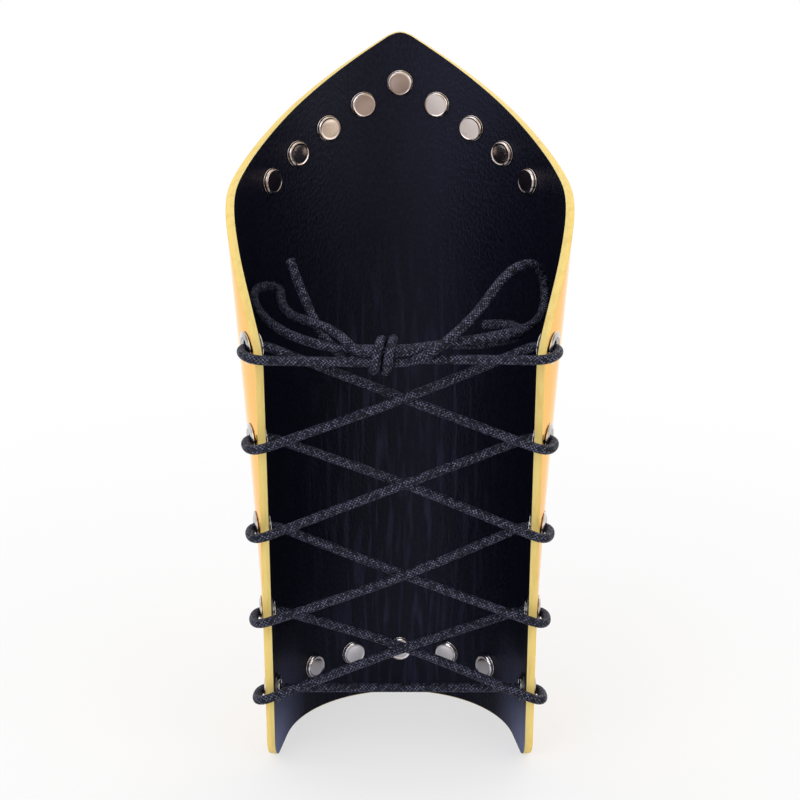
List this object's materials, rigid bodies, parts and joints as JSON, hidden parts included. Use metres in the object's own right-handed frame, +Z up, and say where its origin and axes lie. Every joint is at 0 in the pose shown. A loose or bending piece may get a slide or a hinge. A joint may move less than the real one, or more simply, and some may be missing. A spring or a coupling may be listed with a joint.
{
  "type": "arm guard",
  "caption": "Mirror-gold costume arm guard with a pointed elbow end, domed rivets and a dark lining, laced closed behind the forearm with a round cord tied in a bow.",
  "frame": {"origin": "middle of the guard on the surface it stands on, level with its wrist rim", "axes": "+Z up from the wrist rim to the elbow peak, -Y out of the gold front, +Y out of the laced opening, X across the guard"},
  "size_m": [0.115, 0.0974, 0.2462],
  "materials": {
    "gold_board": "mirror gold face, painted edge",
    "lining": "satin, finely wrinkled",
    "rivets": "polished nickel",
    "eyelets": "polished nickel",
    "lace": "waxed round braid"
  },
  "bodies": {
    "root": {"elbow_rivet_left_1_back": "rivets", "elbow_rivet_left_1_cap": "rivets", "elbow_rivet_left_2_back": "rivets", "elbow_rivet_left_2_cap": "rivets", "elbow_rivet_left_3_back": "rivets", "elbow_rivet_left_3_cap": "rivets", "elbow_rivet_left_4_back": "rivets", "elbow_rivet_left_4_cap": "rivets", "elbow_rivet_middle_back": "rivets", "elbow_rivet_middle_cap": "rivets", "elbow_rivet_right_1_back": "rivets", "elbow_rivet_right_1_cap": "rivets", "elbow_rivet_right_2_back": "rivets", "elbow_rivet_right_2_cap": "rivets", "elbow_rivet_right_3_back": "rivets", "elbow_rivet_right_3_cap": "rivets", "elbow_rivet_right_4_back": "rivets", "elbow_rivet_right_4_cap": "rivets", "eyelet_left_1": "eyelets", "eyelet_left_2": "eyelets", "eyelet_left_3": "eyelets", "eyelet_left_4": "eyelets", "eyelet_left_5": "eyelets", "eyelet_right_1": "eyelets", "eyelet_right_2": "eyelets", "eyelet_right_3": "eyelets", "eyelet_right_4": "eyelets", "eyelet_right_5": "eyelets", "eyelet_washer_left_1": "eyelets", "eyelet_washer_left_2": "eyelets", "eyelet_washer_left_3": "eyelets", "eyelet_washer_left_4": "eyelets", "eyelet_washer_left_5": "eyelets", "eyelet_washer_right_1": "eyelets", "eyelet_washer_right_2": "eyelets", "eyelet_washer_right_3": "eyelets", "eyelet_washer_right_4": "eyelets", "eyelet_washer_right_5": "eyelets", "inner_lining": "lining", "lace_knot": "lace", "lace_lacing": "lace", "lace_loop_left": "lace", "lace_loop_right": "lace", "lace_tail_left": "lace", "lace_tail_right": "lace", "outer_shell": "gold_board", "wrist_rivet_left_1_back": "rivets", "wrist_rivet_left_1_cap": "rivets", "wrist_rivet_left_2_back": "rivets", "wrist_rivet_left_2_cap": "rivets", "wrist_rivet_middle_back": "rivets", "wrist_rivet_middle_cap": "rivets", "wrist_rivet_right_1_back": "rivets", "wrist_rivet_right_1_cap": "rivets", "wrist_rivet_right_2_back": "rivets", "wrist_rivet_right_2_cap": "rivets"}
  },
  "joints": []
}
